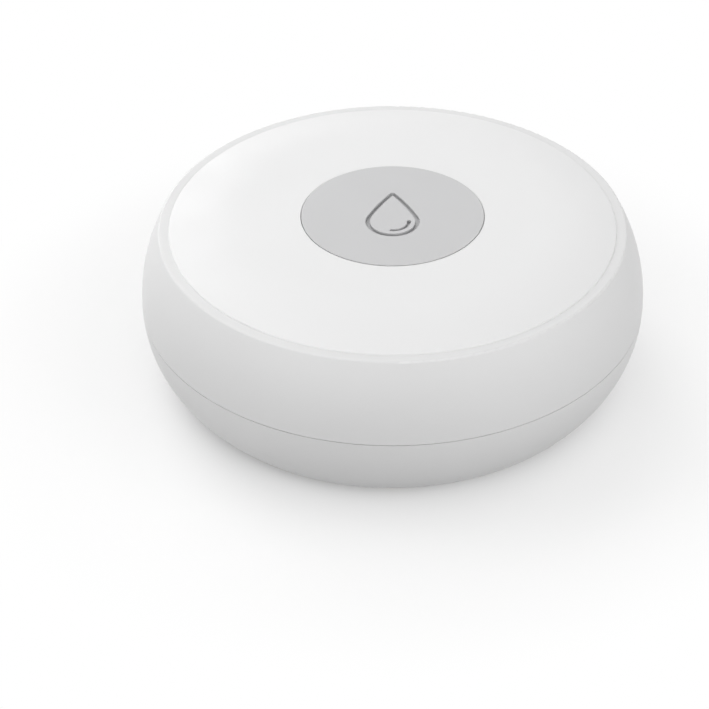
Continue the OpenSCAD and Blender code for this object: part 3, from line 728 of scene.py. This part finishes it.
def turned_copies(piece):
    """Copies a piece to the other two thirds of a turn and returns all three."""
    made = [piece]
    for number, angle in enumerate(THIRDS, start=2):
        alone(piece)
        bpy.ops.object.duplicate(linked=False)
        copy = bpy.context.object
        copy.name = copy.data.name = piece.name[:-1] + str(number)
        copy.rotation_euler.z = math.radians(angle)
        bpy.ops.object.transform_apply(location=True, rotation=True, scale=True)
        made.append(copy)
    return made


def solid_at(node, angle):
    """Gives the box of the one solid of a CAD node that stands at an angle round the axis."""
    def off(point):
        turn = math.degrees(math.atan2(point.y, point.x)) - angle
        return abs((turn + 180) % 360 - 180)

    points = [vert.co for vert in cad_nodes[node].data.vertices if off(vert.co) < REACH]
    return (Vector([min(p[i] for p in points) for i in range(3)]),
            Vector([max(p[i] for p in points) for i in range(3)]))


def middle_of(low, high):
    """Gives the middle of a box."""
    return (low + high) / 2


print("helpers for handing over are ready")

# %% [markdown]
# ## Probe feet
#
# The puck stands on three metal feet, and water that joins two of them closes the alarm's circuit.
# On a lathe a foot is turned from bar: a round button with a rolled edge and a shallow dimple, and
# a shank that goes up into the housing. An inset and an extrusion raise the shank on a cylinder,
# two more insets sink the dimple, and bevels roll the edges, much as the lathe does it.

# %% Probe feet
FOOT_SIDES = 64
FOOT_HEAD = 1.35 * MM
FOOT_SHANK, SHANK_ROUND = 1.25 * MM, 0.2 * MM
FOOT_ROLL, RIM_SLACK = 0.5 * MM, 0.01 * MM
DIMPLE_IN, DIMPLE_DEPTH = 1.0 * MM, 0.08 * MM

low, high = solid_at("probe_feet", 270)
foot_r = (high.x - low.x) / 2
stand = middle_of(low, high)
bpy.ops.mesh.primitive_cylinder_add(vertices=FOOT_SIDES, radius=foot_r, depth=FOOT_HEAD,
                                    location=(stand.x, stand.y, low.z + FOOT_HEAD / 2))
foot = begin("probe_foot_1")
pick_level("faces", FOOT_HEAD)
bpy.ops.mesh.inset(thickness=foot_r - FOOT_SHANK)
bpy.ops.mesh.extrude_region_move(TRANSFORM_OT_translate={"value": (0, 0, high.z - FOOT_HEAD)})
pick_level("edges", high.z)
bpy.ops.mesh.bevel(offset=SHANK_ROUND, segments=2)
pick_level("faces", low.z)
bpy.ops.mesh.inset(thickness=FOOT_ROLL + DIMPLE_IN)
bpy.ops.mesh.inset(thickness=2 * DIMPLE_DEPTH, depth=-DIMPLE_DEPTH)
pick("edges", lambda middle, corners: all(
    abs(c.z - low.z) < SAME_HEIGHT and (c - stand).xy.length > foot_r - RIM_SLACK
    for c in corners))
bpy.ops.mesh.bevel(offset=FOOT_ROLL, segments=6)
bpy.ops.object.mode_set(mode="OBJECT")
for piece in turned_copies(foot):
    settle(piece, "probe_feet", "probe_metal", metal["polished_gold_plate"])

# %% [markdown]
# ## Screw threads
#
# A screw is more than a peg: its thread climbs round the shank. The Screw modifier makes it, which
# turns a bent line of one pitch round the axis and upwards. A stack of rings would look alike from
# afar, but it would not climb. Two cuts close the ends of the thread.


# %% Screw thread
CUT_TOLERANCE = 1e-7
THREAD_STEPS = 24


def model_thread(pitch, crest, root, length):
    """Models a threaded rod that stands on the origin, and leaves it in edit mode."""
    bpy.ops.mesh.primitive_circle_add(vertices=4, radius=crest)
    rod = begin("thread")
    pick("verts", lambda middle, corners: middle.y > crest / 2)
    bpy.ops.mesh.delete(type="VERT")
    profile = ((root, -pitch), (crest, -pitch / 2), (root, 0))
    line = sorted(bmesh.from_edit_mesh(rod.data).verts, key=lambda vert: vert.co.x)
    for vert, (out, up) in zip(line, profile):
        vert.co = (out, 0, up)
    bpy.ops.object.mode_set(mode="OBJECT")
    apply_modifier(rod, "SCREW", angle=2 * math.pi, screw_offset=pitch,
                   iterations=math.ceil(length / pitch) + 1, steps=THREAD_STEPS,
                   render_steps=THREAD_STEPS, use_merge_vertices=True,
                   merge_threshold=CUT_TOLERANCE)
    bpy.ops.object.mode_set(mode="EDIT")
    for height, side in ((0, "clear_inner"), (length, "clear_outer")):
        bpy.ops.mesh.select_all(action="SELECT")
        bpy.ops.mesh.bisect(plane_co=(0, 0, height), plane_no=(0, 0, 1), use_fill=True,
                            threshold=CUT_TOLERANCE, **{side: True})
    bpy.ops.mesh.select_all(action="SELECT")
    bpy.ops.mesh.remove_doubles(threshold=CUT_TOLERANCE)
    bpy.ops.mesh.normals_make_consistent(inside=False)
    return rod


print("the steps for a thread are ready")

# %% [markdown]
# ## Screw heads
#
# The head is domed by a bevel and has a cross for the driver, which two tapered blades cut out. A
# union of the head with the thread makes one solid of both. The union leaves two large bent faces
# round the thread, which are cut into even triangles, because a printer's or a simulator's mesh
# may fold there otherwise. All sizes follow from those of the head and the shank.


# %% Screw
HEAD_SIDES = 48
CROWN_ROUND = 0.4
BLADE_LENGTH, BLADE_WIDTH, BLADE_DEPTH, BLADE_TAPER = 1.2, 0.24, 1.2, 0.6
ROD_IN_HEAD = 0.25
THREAD_ROOT, TIP_TAPER = 0.8, 0.8


def model_head(name, at, head_r, head_h, seat, way):
    """Models a domed head with a cross, which rests at the height seat, with its shank one way."""
    crown = seat - way * head_h
    bpy.ops.mesh.primitive_cylinder_add(vertices=HEAD_SIDES, radius=head_r, depth=head_h,
                                        location=(at.x, at.y, (seat + crown) / 2))
    head = begin(name)
    pick_level("edges", crown)
    bpy.ops.mesh.bevel(offset=CROWN_ROUND * head_h, segments=5)
    bpy.ops.object.mode_set(mode="OBJECT")
    for turn in (0, 90):
        bpy.ops.mesh.primitive_cube_add(
            size=1, location=(at.x, at.y, crown), rotation=(0, 0, math.radians(turn)),
            scale=(BLADE_LENGTH * head_r, BLADE_WIDTH * head_r, BLADE_DEPTH * head_h))
        blade = begin("driver_blade")
        pick_level("faces", crown + way * BLADE_DEPTH / 2 * head_h)
        bpy.ops.transform.resize(value=(BLADE_TAPER, BLADE_TAPER, 1),
                                 center_override=(at.x, at.y, crown))
        bpy.ops.object.mode_set(mode="OBJECT")
        apply_modifier(head, "BOOLEAN", operation="DIFFERENCE", object=blade, solver="EXACT")
        bpy.data.objects.remove(blade)
    return head


def model_screw(name, at, head_r, head_h, shank_r, pitch, seat, tip):
    """Models a screw whose head rests at the height seat and whose thread ends at that of tip."""
    way = 1 if tip > seat else -1
    head = model_head(name, at, head_r, head_h, seat, way)
    low, high = sorted((seat - way * ROD_IN_HEAD * head_h, tip))
    rod = model_thread(pitch, shank_r, THREAD_ROOT * shank_r, high - low)
    end = 0 if way < 0 else high - low
    pick("verts", lambda middle, corners: abs(middle.z - end) < pitch)
    bpy.ops.transform.resize(value=(TIP_TAPER, TIP_TAPER, 1), center_override=(0, 0, end))
    bpy.ops.object.mode_set(mode="OBJECT")
    rod.location = (at.x, at.y, low)
    apply_modifier(head, "BOOLEAN", operation="UNION", object=rod, solver="EXACT")
    bpy.data.objects.remove(rod)
    bpy.ops.object.mode_set(mode="EDIT")
    pick_level("faces", seat)
    bpy.ops.mesh.quads_convert_to_tris(ngon_method="BEAUTY")
    bpy.ops.object.mode_set(mode="OBJECT")
    return head


print("the steps for a screw are ready")

# %% [markdown]
# ## Six screws
#
# Three long screws hold the halves together, with their heads underneath, and three short ones
# hold the board, with their heads on top. Where they stand and how long they are is measured on
# the CAD solids.

# %% Six screws
BASE_HEAD, BASE_SHANK, BASE_PITCH = 1.6 * MM, 1.1 * MM, 0.79 * MM
BOARD_HEAD, BOARD_SHANK, BOARD_PITCH = 1.2 * MM, 0.8 * MM, 0.53 * MM

low, high = solid_at("base_screws", 90)
base_screw = model_screw("base_screw_1", middle_of(low, high), (high.x - low.x) / 2, BASE_HEAD,
                         BASE_SHANK, BASE_PITCH, seat=low.z + BASE_HEAD, tip=high.z)
for piece in turned_copies(base_screw):
    settle(piece, "base_screws", "screw_steel", metal["zinc_plate"])

low, high = solid_at("pcb_screws", 0)
board_screw = model_screw("board_screw_1", middle_of(low, high), (high.y - low.y) / 2, BOARD_HEAD,
                          BOARD_SHANK, BOARD_PITCH, seat=high.z - BOARD_HEAD, tip=low.z)
for piece in turned_copies(board_screw):
    settle(piece, "pcb_screws", "screw_steel", metal["zinc_plate"])

# %% [markdown]
# ## Coin cell
#
# A coin cell is a steel can that is crimped over a lid, with a plastic gasket between the two. All
# of it can be made from one cylinder: the can's edges are rounded, then the top face is set in
# twice, once for the crimped lip and once, a little lower, for the gasket, and what is left is
# pulled up as the lid. The gasket's faces get a second material.

# %% Coin cell
CELL_SIDES = 128
CELL_LID, LID_ROUND = 0.8 * MM, 0.35 * MM
CELL_FOOT, CELL_CRIMP, CELL_LIP = 0.6 * MM, 0.45 * MM, 0.7 * MM
GASKET_W, GASKET_DEPTH, GASKET_SLOPE = 0.45 * MM, 0.3 * MM, 0.3

low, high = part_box("coin_cell")
cell_r = (high.x - low.x) / 2
can_top = high.z - CELL_LID
bpy.ops.mesh.primitive_cylinder_add(vertices=CELL_SIDES, radius=cell_r, depth=can_top - low.z,
                                    location=(0, 0, (can_top + low.z) / 2))
cell = begin("crimped_coin_cell")
pick_level("edges", low.z)
bpy.ops.mesh.bevel(offset=CELL_FOOT, segments=5)
pick_level("edges", can_top)
bpy.ops.mesh.bevel(offset=CELL_CRIMP, segments=4)
pick_level("faces", can_top)
bpy.ops.mesh.inset(thickness=CELL_LIP)
bpy.ops.mesh.inset(thickness=GASKET_W, depth=-GASKET_DEPTH)
bpy.ops.mesh.extrude_region_move(TRANSFORM_OT_translate={"value": (0, 0, GASKET_DEPTH + CELL_LID)})
pick_level("edges", high.z)
bpy.ops.mesh.bevel(offset=LID_ROUND, segments=4)
bpy.ops.object.mode_set(mode="OBJECT")
settle(cell, "coin_cell", "cell_steel", metal["nickel_plate"], rubber)

gasket = [face for face in cell.data.polygons
          if can_top - GASKET_DEPTH < face.center.z < can_top - SAME_HEIGHT
          and abs(face.normal.z) > GASKET_SLOPE
          and face.center.xy.length < cell_r - CELL_CRIMP - CELL_LIP / 2]
for face in gasket:
    face.material_index = 1
print("gasket of", len(gasket), "faces")

# %% [markdown]
# ## Storage capacitor
#
# The round can on the board gives the radio its short strong pulses. It stands on a black base
# with two cut corners, which show which way round it goes. The base is a flat cube, and the cut
# is a bevel of one segment on its two outer upright edges.

# %% Capacitor base
CAN_BASE, BASE_SIDE, BASE_ROUND = 0.6 * MM, 5.3 * MM, 0.08 * MM
CORNER_CUT = 1.1 * MM
CAN_TURN = 30

low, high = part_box("storage_capacitor")
stand = middle_of(low, high)
outwards = Vector((stand.x, stand.y, 0)).normalized()
bpy.ops.mesh.primitive_cube_add(size=1, location=(stand.x, stand.y, low.z + CAN_BASE / 2),
                                rotation=(0, 0, math.radians(CAN_TURN)),
                                scale=(BASE_SIDE, BASE_SIDE, CAN_BASE))
can_base = begin("capacitor_base")
pick("edges", lambda middle, corners: abs(corners[0].z - corners[1].z) > CAN_BASE / 2
     and (middle - stand).dot(outwards) > 0)
bpy.ops.mesh.bevel(offset=CORNER_CUT, segments=1)
pick_level("edges", low.z + CAN_BASE)
bpy.ops.mesh.bevel(offset=BASE_ROUND, segments=2)
settle(can_base, "storage_capacitor", "chip_black", epoxy)

# %% [markdown]
# ### The can
#
# The can is drawn aluminium, rolled into a groove near its foot where it grips the rubber. The
# groove is made as it is rolled: three rings are cut into the wall and the middle one is pulled
# in. A dark segment on the lid marks the negative side. One more cut across the lid gives the
# segment its straight edge, and its face gets a second material.

# %% Capacitor can
CAN_SIDES = 64
CAN_R, CAN_ROUND = 2.5 * MM, 0.35 * MM
NECK_AT, NECK_HALF, NECK_ROUND, NECK_IN = 1.4 * MM, 0.35 * MM, 0.15 * MM, 0.9
MARK_FROM = CAN_R / 2

bpy.ops.mesh.primitive_cylinder_add(
    vertices=CAN_SIDES, radius=CAN_R, depth=high.z - low.z - CAN_BASE,
    location=(stand.x, stand.y, (high.z + low.z + CAN_BASE) / 2))
can = begin("capacitor_can")
for height in (NECK_AT - NECK_HALF, NECK_AT, NECK_AT + NECK_HALF):
    bpy.ops.mesh.select_all(action="SELECT")
    bpy.ops.mesh.bisect(plane_co=(0, 0, low.z + height), plane_no=(0, 0, 1))
pick_level("edges", low.z + NECK_AT)
bpy.ops.transform.resize(value=(NECK_IN, NECK_IN, 1),
                         center_override=(stand.x, stand.y, low.z + NECK_AT))
bpy.ops.mesh.bevel(offset=NECK_ROUND, segments=3)
pick_level("edges", high.z)
bpy.ops.mesh.bevel(offset=CAN_ROUND, segments=4)
pick_level("faces", high.z)
bpy.ops.mesh.bisect(plane_co=stand - MARK_FROM * outwards, plane_no=outwards)
settle(can, "storage_capacitor", "shield_metal", metal["tinned_steel"], epoxy)

for face in can.data.polygons:
    if face.center.z > high.z - SAME_HEIGHT and (face.center - stand).dot(outwards) < -MARK_FROM:
        face.material_index = 1

# %% [markdown]
# ## Softer edges on the small parts
#
# The other parts inside are right in shape, but their edges are as sharp as drawn. Nothing that is
# moulded, stamped or sawn is that sharp, and a soft edge is what catches the light. So each gets a
# copy of its CAD mesh: loose triangles are merged, flat faces joined, and a Bevel modifier with an
# angle limit rounds the edges. A Weighted Normal modifier then keeps the flat faces flat to the
# light beside their rounded edges.


# %% Softened parts
SAME_PLACE = 1e-6
FLAT_ANGLE, EDGE_ANGLE = math.radians(1), math.radians(50)


def soften(node, name, width, slot, material, body="housing"):
    """Makes a copy of a CAD node with its sharp edges rounded by a width, in place of it."""
    piece = bpy.data.objects.new(name, cad_nodes[node].data.copy())
    scene.collection.objects.link(piece)
    piece.data.name = name
    piece.data.materials.clear()
    alone(piece)
    bpy.ops.mesh.customdata_custom_splitnormals_clear()
    bpy.ops.object.mode_set(mode="EDIT")
    bpy.ops.mesh.select_all(action="SELECT")
    bpy.ops.mesh.remove_doubles(threshold=SAME_PLACE)
    bpy.ops.mesh.dissolve_limited(angle_limit=FLAT_ANGLE)
    bpy.ops.object.mode_set(mode="OBJECT")
    apply_modifier(piece, "BEVEL", width=width, segments=2, limit_method="ANGLE",
                   angle_limit=EDGE_ANGLE, use_clamp_overlap=True)
    settle(piece, node, slot, material, body=body)
    apply_modifier(piece, "WEIGHTED_NORMAL", keep_sharp=True)


soften("switch_body", "moulded_switch", 0.08 * MM, "chip_black", epoxy)
soften("radio_shield", "drawn_radio_shield", 0.12 * MM, "shield_metal", metal["tinned_steel"])
soften("crystal", "crystal_can", 0.06 * MM, "shield_metal", metal["tinned_steel"])
soften("controller_chip", "moulded_chip", 0.05 * MM, "chip_black", epoxy)
soften("chip_antenna", "fired_antenna", 0.08 * MM, "ceramic", ceramic)
soften("switch_plunger", "rounded_plunger", 0.15 * MM, "plunger_grey", plunger_grey, body="button")
soften("positive_contact", "side_spring", 0.05 * MM, "contact_gold", metal["gold_plate"])
soften("negative_contact", "cap_spring", 0.05 * MM, "contact_gold", metal["gold_plate"])
soften("probe_contacts", "probe_springs", 0.04 * MM, "contact_gold", metal["gold_plate"])
soften("probe_retainers", "stamped_retainers", 0.06 * MM, "screw_steel", metal["zinc_plate"])

# %% [markdown]
# ## Sizes and the last line
#
# The last cell prints the size of what is shown, in millimetres.

# %% Finish
low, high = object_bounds()
print("visual size in millimetres:", size_mm(low, high))
